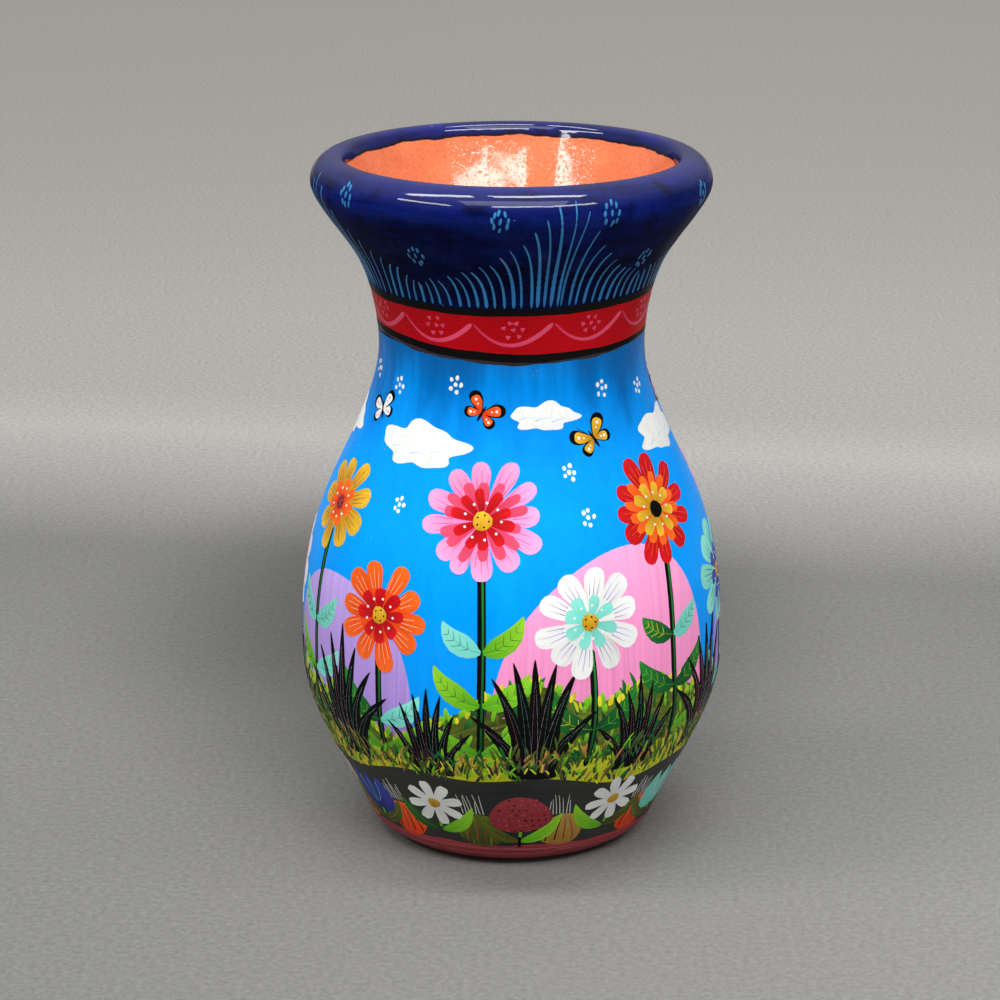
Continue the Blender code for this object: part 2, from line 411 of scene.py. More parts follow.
# %% [markdown]
# ## Grounds
# Under the brushwork lie broad grounds: a blue sky on the body, cobalt on the neck and rim, maroon on the
# foot. The painter put them on with a wide brush, upright on the body and the foot, and round the neck and
# rim. So their streaks are a noise that is stretched along Z or round the wall. The colours change with the
# height, and a few pinholes show the clay.

# %% Mix the sky and the foot
UPRIGHT_BRUSH = ((90.0, 14.0), (520.0, 40.0))
ROUND_BRUSH = ((22.0, 130.0), (60.0, 700.0))
PINHOLE = tint(176, 132, 112)


def wall_place(tree):
    """Object coordinates, and the height in millimetres."""
    place = wire(tree, "ShaderNodeTexCoord").outputs["Object"]
    axes = wire(tree, "ShaderNodeSeparateXYZ", Vector=place)
    return place, reckon(tree, "DIVIDE", axes.outputs[2], MM)


def streaks(tree, place, level, upright):
    """A noise whose grains are drawn out along Z or round the wall, as a wide brush leaves them."""
    drawn = wire(tree, "ShaderNodeMapping", Vector=place, Scale=(level, level, upright)).outputs[0]
    return noise(tree, drawn, 1.0, 3.0)


def ground_paint(name, stops, low, high, contrast, coat=COAT_WEIGHT, brush=UPRIGHT_BRUSH):
    """A ground whose colour changes from a low height to a high one, in mm, streaked by a wide brush."""
    material, tree, shader = varnished(name, coat)
    place, height = wall_place(tree)
    rise = spread(tree, height, low, high)
    broad = streaks(tree, place, *brush[0])
    fine = streaks(tree, place, *brush[1])
    strayed = reckon(tree, "MULTIPLY_ADD", reckon(tree, "SUBTRACT", broad, 0.5), 0.5, rise)
    shade = reckon(tree, "ADD", reckon(tree, "MULTIPLY", broad, 0.6), reckon(tree, "MULTIPLY", fine, 0.4))
    shade = reckon(tree, "MULTIPLY_ADD", reckon(tree, "SUBTRACT", shade, 0.5), contrast, 1.0)
    colour = shaded(tree, ramp(tree, strayed, stops), shade)
    colour = blended(tree, specks(tree, place, 130.0, 0.034), colour, PINHOLE)
    tree.links.new(colour, shader.inputs["Base Color"])
    tree.links.new(reckon(tree, "MULTIPLY_ADD", fine, 0.2, 0.25), shader.inputs["Roughness"])
    hairs = wire(tree, "ShaderNodeBump", Strength=0.2, Distance=0.05 * MM, Height=fine)
    tree.links.new(hairs.outputs[0], shader.inputs["Normal"])
    ripple(tree, shader)
    return material


# The top stops make the sky darker towards the neck: painted shade under the collar.
SKY_GROUND = ground_paint("sky_ground", [
    (0.0, tint(0, 150, 246)), (0.74, tint(0, 150, 246)), (0.86, tint(0, 134, 224)),
    (0.94, tint(0, 107, 186)), (1.0, tint(2, 93, 163)),
], 40.0, 192.0, 0.5, 0.28)
FOOT_GROUND = ground_paint("maroon_foot", [
    (0.0, tint(106, 36, 40)), (0.35, tint(160, 62, 68)), (1.0, tint(160, 64, 70)),
], 0.0, 10.0, 0.8)
print("grounds:", SKY_GROUND.name, "and", FOOT_GROUND.name)

# %% [markdown]
# ## Cobalt
# The cobalt of the neck and rim is patchy, thin in some places and thick in others, and it is glossiest on
# the rim, where varnish gathers. Its colour is painted darkest on the collar's flare and lighter on the rim,
# as painted shade and painted light. Inside the mouth it ends over the clay in an edge that wanders, with a
# dark line just above it. The shader draws that edge from the point's own height and radius.

# %% Mix the cobalt
PAINT_EDGE = 249.2
GLOSS_LOW, GLOSS_HIGH = 246.0, 250.5
# Darkest on the collar's flare and lighter on the rim: painted shade on the flare, painted light on the rim.
COBALT_WITH_PAINTED_LIGHT = [
    (0.0, tint(2, 12, 46)), (0.4, tint(1, 7, 44)), (0.62, tint(2, 12, 60)), (0.8, tint(7, 23, 86)),
    (1.0, tint(12, 18, 84)),
]


def off_axis(tree, place):
    """The distance from the vase's axis, in millimetres."""
    axes = wire(tree, "ShaderNodeSeparateXYZ", Vector=place)
    level = wire(tree, "ShaderNodeCombineXYZ", X=axes.outputs[0], Y=axes.outputs[1]).outputs[0]
    length = wire(tree, "ShaderNodeVectorMath", operation="LENGTH", Vector=level)
    return reckon(tree, "DIVIDE", length.outputs["Value"], MM)


def cobalt_ground(name, inside):
    """The blue of neck, collar and rim, glossiest at the top. Inside the mouth it ends over the clay."""
    material = ground_paint(name, COBALT_WITH_PAINTED_LIGHT, 200.0, 254.0, 4.0, brush=ROUND_BRUSH)
    tree = material.node_tree
    shader = tree.nodes["Principled BSDF"]
    colour = shader.inputs["Base Color"].links[0].from_socket
    place, height = wall_place(tree)
    patchy = noise(tree, place, 110.0, 5.0, 0.65)
    colour = blended(tree, spread(tree, patchy, 0.52, 0.72, 0.0, 0.45), colour, tint(24, 36, 84))
    colour = blended(tree, spread(tree, patchy, 0.47, 0.32, 0.0, 0.7), colour, tint(1, 3, 22))
    gloss = spread(tree, height, GLOSS_LOW, GLOSS_HIGH, 0.1, 0.9)
    tree.links.new(gloss, shader.inputs["Coat Weight"])
    if inside:
        stray = reckon(tree, "SUBTRACT", noise(tree, place, 70.0, 4.0, 0.6), 0.5)
        border = reckon(tree, "MULTIPLY_ADD", stray, 3.2, PAINT_EDGE)
        depth = reckon(tree, "SUBTRACT", border, height)
        within = reckon(tree, "LESS_THAN", off_axis(tree, place), LIP_RADIUS + 0.1)
        # A dark line is drawn along the paint's edge inside the mouth.
        dark_edge_line = reckon(tree, "MULTIPLY", spread(tree, depth, -1.6, -0.5), within)
        colour = blended(tree, dark_edge_line, colour, tint(12, 3, 22))
        under = reckon(tree, "MULTIPLY", spread(tree, depth, -0.15, 0.15), within)
        colour = blended(tree, under, colour, clay_colour(tree, place))
    tree.links.new(colour, shader.inputs["Base Color"])
    return material


COLLAR_GROUND = cobalt_ground("cobalt_collar", False)
RIM_GROUND = cobalt_ground("cobalt_rim", True)
print("cobalt:", COLLAR_GROUND.name, "and", RIM_GROUND.name)

# %% [markdown]
# ## Clay sections
# The potter built the vase from sections on a wheel, so each one is turned here too: a circle of points is
# pushed onto the section's outline and spun about the axis. The seams come from the frame's boxes: a section
# starts outside at its own lowest point and ends inside at its own highest. Each section ends on the same
# row of points as its neighbour, so no seam shows. An extra row close to each end keeps the shading even.

# %% Find the seams
NODES = ["floor_slab", "lower_bowl", "shoulder", "neck_ring", "collar", "rim_roll"]
seams = []
for under, over in zip(NODES, NODES[1:]):
    seams.append((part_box(over)[0].z / MM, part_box(under)[1].z / MM))
print("seams, outside and inside:", [(round(a, 1), round(b, 1)) for a, b in seams])

# %% Write the potter's wheel
TURNS = 192
ROW, FINE_ROW, CLOSE_ROW = 2.2, 1.0, 0.3


def wall_rows(wall, low, high, row):
    """Points of a wall from one height to another, evenly spaced but for a close row at each end."""
    along = np.concatenate([[0.0], np.cumsum(np.hypot(*np.diff(wall, axis=0).T))])
    start, end = np.interp([low, high], wall[:, 1], along)
    places = np.linspace(start, end, max(4, math.ceil((end - start) / row)))
    places = np.sort(np.concatenate([places, [start + CLOSE_ROW, end - CLOSE_ROW]]))
    return np.stack([np.interp(places, along, wall[:, i]) for i in (0, 1)], axis=1)


def turn_section(node, outline, hub):
    """Spin an outline about the axis into a section. A hub's outline starts and ends on the axis."""
    bpy.ops.object.select_all(action="DESELECT")
    bpy.ops.mesh.primitive_circle_add(vertices=len(outline), radius=1.0)
    section = bpy.context.object
    section.name = node + "_wall"
    places = np.stack([outline[:, 0], np.zeros(len(outline)), outline[:, 1]], axis=1) * MM
    section.data.vertices.foreach_set("co", places.ravel())
    if hub:
        ends = {0, len(outline) - 1}
        for edge in section.data.edges:
            edge.select = set(edge.vertices) == ends
        for vertex in section.data.vertices:
            vertex.select = vertex.index in ends
        bpy.ops.object.mode_set(mode="EDIT")
        bpy.ops.mesh.select_mode(type="EDGE")
        bpy.ops.mesh.delete(type="EDGE")
        bpy.ops.mesh.select_mode(type="VERT")
    else:
        bpy.ops.object.mode_set(mode="EDIT")
    bpy.ops.mesh.select_all(action="SELECT")
    bpy.ops.mesh.spin(steps=TURNS, angle=math.tau, center=(0, 0, 0), axis=(0, 0, 1))
    bpy.ops.mesh.select_all(action="SELECT")
    bpy.ops.mesh.remove_doubles(threshold=0.005 * MM)
    bpy.ops.mesh.normals_make_consistent(inside=False)
    bpy.ops.object.mode_set(mode="OBJECT")
    return section


print("the wheel takes", TURNS, "steps for a turn")

# %% Write how a section settles
# A face this far under the outer wall, in mm, lies inside the vase.
SKIN = 3.0
CLAY_LOW = FLOOR - 0.5
CLAY_HIGH = PAINT_EDGE - 1.7


def rows_of(items, name):
    """A property of many vertices or faces, one row of three numbers each."""
    values = np.empty(len(items) * 3)
    items.foreach_get(name, values)
    return values.reshape(-1, 3)


def settle(section):
    """Give a turned section the hand-made wobble. Returns which of its faces are bare clay."""
    mesh = section.data
    places = rows_of(mesh.vertices, "co")
    angle = np.arctan2(places[:, 0], -places[:, 1])
    radius = np.hypot(places[:, 0], places[:, 1])
    radius = np.where(radius > MM, radius + wobble(angle, places[:, 2] / MM) * MM, radius)
    places[:, 0] = radius * np.sin(angle)
    places[:, 1] = -radius * np.cos(angle)
    mesh.vertices.foreach_set("co", places.ravel())
    centres = rows_of(mesh.polygons, "center") / MM
    outer = np.interp(centres[:, 2], outer_wall[:, 1], outer_wall[:, 0])
    inside = np.hypot(centres[:, 0], centres[:, 1]) < outer - SKIN
    return inside & (centres[:, 2] > CLAY_LOW) & (centres[:, 2] < CLAY_HIGH)


print("bare clay from %.1f to %.1f mm" % (CLAY_LOW, CLAY_HIGH))

# %% Turn the six sections
OUTSIDE = {
    "floor_slab": FOOT_GROUND, "lower_bowl": SKY_GROUND, "shoulder": SKY_GROUND,
    "neck_ring": COLLAR_GROUND, "collar": COLLAR_GROUND, "rim_roll": RIM_GROUND,
}
for i, node in enumerate(NODES):
    low = seams[i - 1] if i else (0.0, FLOOR)
    high = seams[i] if i < len(seams) else (TOP, TOP)
    row = ROW if 0 < i < len(NODES) - 1 else FINE_ROW
    outside = wall_rows(outer_wall, low[0], high[0], row)
    inside = wall_rows(inner_wall, low[1], high[1], row)
    if i == 0:
        outline = np.concatenate([[[0.0, 0.0]], outside, inside[::-1], [[0.0, FLOOR]]])
    else:
        outline = np.concatenate([outside, inside[::-1]])
    section = turn_section(node, outline, hub=i == 0)
    inner_faces = settle(section)
    section.data.materials.append(OUTSIDE[node])
    section.data.materials.append(CLAY)
    section.data.polygons.foreach_set("material_index", inner_faces.astype(np.int32))
    bpy.ops.object.shade_smooth_by_angle(angle=math.radians(50))
    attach(section, "root")
    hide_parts(node)
    print(section.name, "with", len(section.data.polygons), "faces")

# %% [markdown]
# ## Brush strokes
# A brush stroke is a low, rounded pebble of paint. Ten blanks of three kinds are modelled once: pebbles that
# lie on their side for strokes, flat pebbles for dabs and patches, and hoops for bands that go right round.
# Every stroke is a copy of a blank, bent along its own path and pressed onto the wall.

# %% Model the blanks
HOOP_THICK = 0.25


def blank(name, lying):
    """Keep the active pebble as a blank. Returns its mesh and its corners, and removes the object."""
    pebble = bpy.context.object
    pebble.name = name
    if lying:
        bpy.ops.object.mode_set(mode="EDIT")
        bpy.ops.mesh.select_all(action="SELECT")
        bpy.ops.transform.rotate(value=math.pi / 2, orient_axis="Y", center_override=(0, 0, 0))
        bpy.ops.object.mode_set(mode="OBJECT")
    mesh = pebble.data
    bpy.data.objects.remove(pebble)
    return mesh, rows_of(mesh.vertices, "co")


BLANKS = {}
for name, segments, rings, lying in (
    ("stroke", 8, 7, True), ("petal", 10, 10, True), ("wisp", 6, 5, True), ("hair", 4, 20, True),
    ("stem", 8, 40, True), ("dab", 10, 4, False), ("patch", 60, 14, False), ("hill", 96, 40, False),
):
    bpy.ops.mesh.primitive_uv_sphere_add(segments=segments, ring_count=rings, radius=1.0)
    BLANKS[name] = blank(name, lying)
for name, minor in (("hoop", 8), ("wide_hoop", 48)):
    bpy.ops.mesh.primitive_torus_add(
        major_segments=240, minor_segments=minor, major_radius=1.0, minor_radius=HOOP_THICK)
    BLANKS[name] = blank(name, False)
print("blanks:", {name: len(mesh.polygons) for name, (mesh, corners) in BLANKS.items()}, "faces")

# %% [markdown]
# ## Brush pressure
# How wide the brush presses along its path makes the stroke's shape: a line, a drop, a leaf or a petal. Each
# shape gives the share of the full width at t, which runs from 0 at the stroke's start to 1 at its end.

# %% Set the brush pressure
def eased(t, steep):
    """A rounded start: nothing at 0, and soon full."""
    return np.clip(t * steep, 0, 1) ** 0.5


PRESSURE = {
    "line": lambda t: eased(t * (1 - t), 30),
    "hair": lambda t: eased(t, 20) * (1 - 0.65 * t) * eased(1 - t, 30),
    "reed": lambda t: eased(t, 20) * (1 - 0.55 * t) * eased(1 - t, 25),
    "swell": lambda t: eased(t, 30) * np.clip(0.38 + 0.8 * t, 0, 1) * eased(1 - t, 30),
    "drop": lambda t: 1.35 * t ** 0.8 * np.clip(1 - t ** 3, 0, 1) ** 0.5,
    "leaf": lambda t: np.sin(np.pi * np.clip(t, 0, 1) ** 0.8) ** 0.85,
    "petal": lambda t: (0.25 + 0.85 * t ** 0.9) * np.clip(1 - t ** 5, 0, 1) ** 0.5 * eased(t, 20),
    "blade": lambda t: eased(t, 25) * np.clip(1 - t, 0, 1) ** 0.7,
}
print("brush shapes:", ", ".join(PRESSURE))

# %% [markdown]
# ## Laying paint
# A painter thinks in millimetres on the wall, so a stroke has a spot, which is an angle in degrees and a
# height, and a path in millimetres to the right and up from there. The path is three points: it goes from
# the first to the last and bends towards the middle one. A stroke's rim and underside sink just into the
# wall below, so no gap shows from any side, and each coat lies about a hundredth of a millimetre over the
# last. All strokes of one paint in one motif become one object, copied out by an Array modifier and then
# shaped.

# %% Hold the brush
# In mm: the height of the first coat, what each later coat adds, and how deep a film's rim is sunk.
FIRST_COAT = 0.07
COAT = 0.011
SINK = 0.03
# How quickly a film rises from its rim.
STEEP = 8.0
hand = random.Random(11)
painted = {}


def lift_of(up, coat):
    """How far a point of a blank stands off the wall, in mm: flat on top, and sunk at its rim and below."""
    height = FIRST_COAT + COAT * coat
    return np.where(up > 0, (height + SINK) * np.minimum(1.0, STEEP * up) - SINK, 0.1 * up - SINK)


def on_spot(spot, right, up, lift):
    """Places for points a few mm right of and above a spot."""
    along = up_to(spot[1]) + up
    radius = np.interp(along, wall_along, outer_wall[:, 0])
    return on_wall(math.radians(spot[0]) + right / radius, along, lift)


def bent(path, t):
    """The place at t on a bent path of three points."""
    (x0, y0), (x1, y1), (x2, y2) = path
    x = (1 - t) ** 2 * x0 + 2 * t * (1 - t) * x1 + t * t * x2
    y = (1 - t) ** 2 * y0 + 2 * t * (1 - t) * y1 + t * t * y2
    return x, y


def ray(angle, reach):
    """The place at a reach from a spot, in the direction of an angle."""
    return reach * math.cos(angle), reach * math.sin(angle)


def add(motif, paint, kind, places, along, across):
    """Keep a shaped stroke until its motif is laid."""
    touch = np.stack([along, across, np.full(len(along), hand.uniform(0.0, 50.0))], axis=1)
    painted.setdefault((motif, paint, kind), []).append((places, touch))


print("the first coat is %.2f mm high, and each later one adds %.3f mm" % (FIRST_COAT, COAT))

# %% Write the stroke, the dab and the band
TINY = 1e-6


def stroke(motif, paint, coat, spot, path, width, shape="line", kind="stroke"):
    """A brush stroke along a bent path of three points."""
    corners = BLANKS[kind][1]
    t = np.clip((corners[:, 0] + 1.0) / 2.0, 0.0, 1.0)
    x, y = bent(path, t)
    (x0, y0), (x1, y1), (x2, y2) = path
    dx = 2 * (1 - t) * (x1 - x0) + 2 * t * (x2 - x1)
    dy = 2 * (1 - t) * (y1 - y0) + 2 * t * (y2 - y1)
    run = np.maximum(np.hypot(dx, dy), TINY)
    thin = np.maximum(np.sqrt(np.clip(1 - corners[:, 0] ** 2, 0, 1)), TINY)
    across = np.clip(corners[:, 1] / thin, -1, 1)
    up = np.clip(corners[:, 2] / thin, -1, 1) * np.clip(thin * 4, 0, 1)
    shake = 1.0 + 0.06 * np.sin(6.0 * t + 2.0 * across + hand.uniform(0.0, 6.0))
    half = width / 2 * PRESSURE[shape](t) * shake
    lift = lift_of(up, coat + hand.uniform(-0.3, 0.3))
    places = on_spot(spot, x - across * half * dy / run, y + across * half * dx / run, lift)
    add(motif, paint, kind, places, t, across)


def dab(motif, paint, coat, spot, middle, wide, tall, turn=0.0, bumps=None, kind="dab"):
    """A dab of paint: an oval, or a shape whose reach at each angle is given by bumps."""
    corners = BLANKS[kind][1]
    round_it = np.arctan2(corners[:, 1], corners[:, 0])
    reach = np.hypot(corners[:, 0], corners[:, 1])
    if bumps:
        reach = reach * bumps(round_it)
    else:
        reach = reach * (1.0 + 0.05 * np.sin(3 * round_it + hand.uniform(0.0, 6.0)))
    x = reach * np.cos(round_it) * wide / 2
    y = reach * np.sin(round_it) * tall / 2
    lift = lift_of(corners[:, 2], coat + hand.uniform(-0.3, 0.3))
    right = middle[0] + x * math.cos(turn) - y * math.sin(turn)
    up = middle[1] + x * math.sin(turn) + y * math.cos(turn)
    hairs = max(1.0, wide / 12.0)
    add(motif, paint, kind, on_spot(spot, right, up, lift), corners[:, 1] / 2 + 0.5, corners[:, 0] * hairs)


def band(motif, paint, coat, low, high, kind="hoop"):
    """A band of paint right round the vase. Its edges are functions of the angle that give heights in mm."""
    corners = BLANKS[kind][1]
    angle = np.arctan2(corners[:, 1], corners[:, 0])
    across = np.clip(corners[:, 2] / HOOP_THICK, -1, 1)
    up = (np.hypot(corners[:, 0], corners[:, 1]) - 1.0) / HOOP_THICK
    bottom, top = up_to(low(angle)), up_to(high(angle))
    places = on_wall(angle, bottom + (top - bottom) * (across + 1) / 2, lift_of(up, coat))
    add(motif, paint, kind, places, np.abs(angle) * 3.0, across * 3.0)


print("a stroke has", len(BLANKS["stroke"][1]), "points and a dab has", len(BLANKS["dab"][1]))

# %% Write how a motif is laid
def copied_out(kind, strokes):
    """One mesh object with a copy of the blank for each stroke, shaped and marked with its touch."""
    bpy.ops.object.select_all(action="DESELECT")
    film = bpy.data.objects.new(kind, BLANKS[kind][0].copy())
    bpy.context.collection.objects.link(film)
    bpy.context.view_layer.objects.active = film
    film.select_set(True)
    if len(strokes) > 1:
        row = film.modifiers.new("copies", "ARRAY")
        row.count = len(strokes)
        bpy.ops.object.modifier_apply(modifier=row.name)
    film.data.vertices.foreach_set("co", np.concatenate([places for places, touch in strokes]).ravel())
    mark = film.data.attributes.new("touch", "FLOAT_VECTOR", "POINT")
    mark.data.foreach_set("vector", np.concatenate([touch for places, touch in strokes]).ravel())
    return film


def flatten_shading(mesh):
    """Shade a film as the wall under it, because brushed paint follows the wall."""
    places = rows_of(mesh.vertices, "co")
    angle = np.arctan2(places[:, 0], -places[:, 1])
    along = up_to(places[:, 2] / MM)
    lean = np.interp(along, wall_along, wall_slope[:, 0])
    climb = np.interp(along, wall_along, wall_slope[:, 1])
    normals = np.stack([climb * np.sin(angle), -climb * np.cos(angle), -lean], axis=1)
    mesh.normals_split_custom_set_from_vertices(normals.tolist())


def lay_paint(motif):
    """Turn a motif's strokes into pieces, one for each paint."""
    kinds = {}
    for owner, paint, kind in list(painted):
        if owner == motif:
            kinds.setdefault(paint, []).append(copied_out(kind, painted.pop((owner, paint, kind))))
    faces = 0
    for paint, films in kinds.items():
        bpy.ops.object.select_all(action="DESELECT")
        for film in films:
            film.select_set(True)
        piece = films[0]
        bpy.context.view_layer.objects.active = piece
        if len(films) > 1:
            bpy.ops.object.join()
        piece.name = motif + "_" + paint
        piece.data.name = piece.name
        piece.data.materials.append(PAINTS[paint])
        bpy.ops.object.shade_smooth()
        flatten_shading(piece.data)
        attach(piece, "root")
        faces += len(piece.data.polygons)
    print(motif, "in", ", ".join(kinds), "with", faces, "faces")


print("motifs waiting to be laid:", len(painted))

# %% [markdown]
# ## The banded neck
# A scarlet band goes round the neck between two black lines, with a dry brown edge under the lower one. It
# was drawn freehand, so it rises and falls a little. Eleven rose scallops hang on it. Each is one stroke,
# thin at its start and thick at its end, and in it sits a small flower of three-cornered dabs.

# %% Paint the band on the neck
BLACK_LINE = 3.2
OVERLAP = 0.6


def band_top(angle):
    """The upper edge of the scarlet, under the upper black line."""
    return 205.95 + 0.45 * np.sin(angle) - 0.35 * np.cos(2 * angle)


def band_bottom(angle):
    """The lower edge of the scarlet, over the lower black line."""
    return 193.5 - 1.4 * np.sin(angle) - 1.05 * np.cos(2 * angle)


def line_bottom(angle):
    """The lower edge of the lower black line."""
    return band_bottom(angle) - BLACK_LINE + 0.5 * np.sin(angle) - 0.8 * np.cos(2 * angle)


def freehand(angle, size, seed):
    """A small tremor for a line drawn by hand."""
    slow = np.sin(9 * angle + seed) + 0.6 * np.sin(23 * angle + 2 * seed)
    return size * (slow + 0.3 * np.sin(57 * angle + seed))


band("neck", "scarlet", 1, lambda a: band_bottom(a) - OVERLAP, lambda a: band_top(a) + OVERLAP, "wide_hoop")
band("neck", "black", 4, lambda a: band_top(a) + freehand(a, 0.12, 1.0),
     lambda a: band_top(a) + BLACK_LINE + freehand(a, 0.2, 2.0))
band("neck", "black", 4, lambda a: line_bottom(a) + freehand(a, 0.2, 3.0),
     lambda a: band_bottom(a) + freehand(a, 0.12, 4.0))
band("neck", "brown", 2, lambda a: line_bottom(a) - OVERLAP + freehand(a, 0.25, 5.0) + 0.3 * np.sin(a),
     lambda a: line_bottom(a) + 0.8)
print("at the front the scarlet goes from %.1f to %.1f mm" % (band_bottom(0.0), band_top(0.0)))

# %% Paint the scallops
SCALLOPS = 11
CUSP_RISE = 7.8
FIRST_CUSP = -16.1
FLOWER_RISE = 5.7


def hang(angle):
    """The height of the lowest point of a scallop."""
    return band_bottom(angle) + max(0.9, 1.5 + 2.0 * math.sin(angle) + 1.2 * math.cos(angle))


def three_corners(angle):
    """The reach of a small three-cornered dab with its point down."""
    return 0.85 + 0.26 * np.cos(3 * (angle + math.pi / 2))


for i in range(SCALLOPS):
    cusp = FIRST_CUSP + 360.0 / SCALLOPS * i
    middle = cusp + 180.0 / SCALLOPS
    low = hang(math.radians(middle))
    ends = [CUSP_RISE + hang(math.radians(cusp + turn)) - low for turn in (0.0, 360.0 / SCALLOPS)]
    path = [(-13.9, ends[0]), (hand.uniform(-2.5, -0.5), -sum(ends) / 2), (14.1, ends[1])]
    stroke("neck", "rose", 9, (middle, low), path, 2.0, "swell", "stem")
    for k in range(7):
        turn = math.tau * k / 6 + hand.uniform(-0.25, 0.25)
        reach = hand.uniform(2.9, 3.6) if k < 6 else 0.3
        place = (reach * math.cos(turn), reach * 0.95 * math.sin(turn))
        dab("neck", "rose", 9, (middle, low + FLOWER_RISE), place,
            2.3 * hand.uniform(0.85, 1.15), 2.2, hand.uniform(-0.5, 0.5), three_corners)
lay_paint("neck")

# %% [markdown]
# ## The collar's fans
# Four fans of fine turquoise hairs climb from the black line over the collar. The hairs are long in the
# middle, where they reach onto the rim, and short at the sides, and each one bends away from the middle.
# Small flowers of oval dabs stand over the fans and between them.

# %% Paint the fans
FAN_MIDDLES = [17.0 + 90.0 * k for k in range(4)]
FAN_LEFT, FAN_RIGHT = 53.0, 37.0
LEFT_HAIRS, RIGHT_HAIRS = 16, 11
FAN_FOOT = 3.4
for middle in FAN_MIDDLES:
    for k in range(-LEFT_HAIRS, RIGHT_HAIRS + 1):
        share = k / LEFT_HAIRS if k < 0 else k / RIGHT_HAIRS
        away = abs(share)
        side = math.copysign(FAN_LEFT if k < 0 else FAN_RIGHT, share)
        angle = middle + side * away ** 1.2 + hand.uniform(-0.5, 0.5)
        length = 8.0 + 17.0 * (1 - away) ** 0.9 + 22.0 * math.exp(-((share / 0.27) ** 2))
        length += hand.uniform(-1.5, 1.5)
        bend = math.copysign(11.0 * away ** 0.5 * (1 - away) ** 0.7, share) + hand.uniform(-0.5, 0.5)
        foot = float(band_top(math.radians(angle))) + FAN_FOOT
        width = hand.choice([1.1, 1.2, 1.3, 1.5, 1.7])
        path = [(0, 0), (0, length * 0.72), (bend, length)]
        stroke("collar", "turquoise", 5, (angle, foot), path, width, "reed", "hair")
print(len(FAN_MIDDLES), "fans of", LEFT_HAIRS + RIGHT_HAIRS + 1, "hairs")

# %% Paint the collar's flowers
def dot_flower(motif, paint, coat, spot, reach, dabs, wide, tall):
    """A flower of small dabs about a middle one."""
    for k in range(dabs):
        turn = math.tau * k / (dabs - 1) + hand.uniform(-0.25, 0.25)
        far = reach * hand.uniform(0.85, 1.1) if k < dabs - 1 else 0.0
        dab(motif, paint, coat, spot, (far * 0.8 * math.cos(turn), far * math.sin(turn)),
            wide * hand.uniform(0.8, 1.15), tall * hand.uniform(0.85, 1.15), hand.uniform(-0.3, 0.3))


COLLAR_FLOWERS = [
    (-3.3, 243.7), (28.0, 245.2), (-32.5, 227.8), (50.0, 224.3), (-53.5, 247.3), (68.0, 244.7),
    (93.0, 240.0), (122.0, 243.0), (145.0, 226.0), (160.0, 243.0), (182.0, 240.0), (-128.0, 226.0),
    (-112.0, 242.0), (-88.0, 240.0),
]
for spot in COLLAR_FLOWERS:
    dot_flower("collar", "turquoise", 5, spot, 3.7, 9, 1.2, 2.7)
lay_paint("collar")

# %% [markdown]
# ## The foot
# The maroon of the foot runs up over the lowest seam and ends in a wandering edge. Pale streaks lie on it
# where the brush went round almost dry.

# %% Paint the foot
def level(height):
    """An edge at one height all round, for a band."""
    return lambda angle: np.full_like(angle, height)


band("foot", "maroon", 24, level(6.0), lambda a: 10.4 + freehand(a, 0.35, 6.0) + 0.8 * np.cos(a + 0.4))
for k in range(16):
    long = hand.uniform(22.0, 44.0)
    path = [(0.0, 0.0), (long * 0.4, hand.uniform(-0.9, 0.9)), (long, hand.uniform(-0.8, 0.8))]
    spot = (22.5 * k + hand.uniform(-8.0, 8.0), hand.uniform(5.5, 9.0))
    stroke("foot", "blush", 26, spot, path, 1.2, "hair", "stem")
lay_paint("foot")

# %% [markdown]
# ## Sky
# The sky needs little: a few rounded clouds, and white star flowers of six dabs strewn between them. A cloud
# is one flat patch whose outline swells and dips, with a few pale blue touches on it.

# %% Paint the sky
def cloud(spot, wide, tall, seed):
    """A cloud with a lumpy top and a flatter foot."""
    def lumpy(a):
        """The reach of the cloud's edge at an angle."""
        lumps = 1.0 + 0.13 * np.sin(5 * a + seed) + 0.08 * np.sin(8 * a + 2 * seed)
        return lumps * np.where(np.sin(a) < 0, 0.72, 1.0) ** np.abs(np.sin(a))

    dab("sky", "white", 1, spot, (0, 0), wide, tall, 0.0, lumpy, "patch")
    for k in range(3):
        left = (k - 1) * wide * 0.24
        low = -tall * 0.12 + hand.uniform(-1.0, 1.0)
        path = [(left - 4, low), (left, low + 2.4), (left + 5, low + 0.4)]
        stroke("sky", "mist", 6, spot, path, 0.8, "hair", "wisp")


CLOUDS = [
    (-36, 157, 36, 18), (13, 169, 24, 11), (72, 156, 34, 17), (118, 166, 25, 12), (168, 156, 36, 17),
    (-145, 167, 24, 11), (-95, 157, 34, 17),
]
for k, (angle, height, wide, tall) in enumerate(CLOUDS):
    cloud((angle, height), wide, tall, 1.3 * k)
STARS = [
    (-54, 176), (-24, 180), (40, 177), (24, 136), (-38, 138), (20, 151), (64, 174), (88, 178), (98, 148),
    (142, 178), (140, 142), (178, 178), (-160, 148), (-120, 180), (-98, 140), (-76, 178),
]
for spot in STARS:
    dot_flower("sky", "white", 2, spot, 2.7, 6, 1.6, 1.9)
lay_paint("sky")

# %% [markdown]
# ## Hills, meadow and dark earth
# Below the sky the land runs right round the vase: round pink and lilac hills, an olive wood with a bright
# fluffy edge, a yellow meadow and a strip of dark earth. The broad shapes are bands and patches. The edges
# are hundreds of short dabs, as a loaded brush leaves when it is pressed and lifted.

# %% Paint the land
def wood_top(angle):
    """The upper edge of the wood."""
    return 69.0 + 9.0 * np.sin(3 * angle + 0.6) + 5.0 * np.sin(7 * angle + 1.9) + 1.5 * np.sin(13 * angle)


def meadow_top(angle):
    """The upper edge of the meadow."""
    return 51.0 + 2.4 * np.sin(2 * angle + 1.0) + 1.8 * np.sin(5 * angle + 0.4)


def earth_top(angle):
    """The upper edge of the dark earth."""
    return 39.5 + 2.6 * np.sin(3 * angle + 2.2) + 1.4 * np.sin(8 * angle)


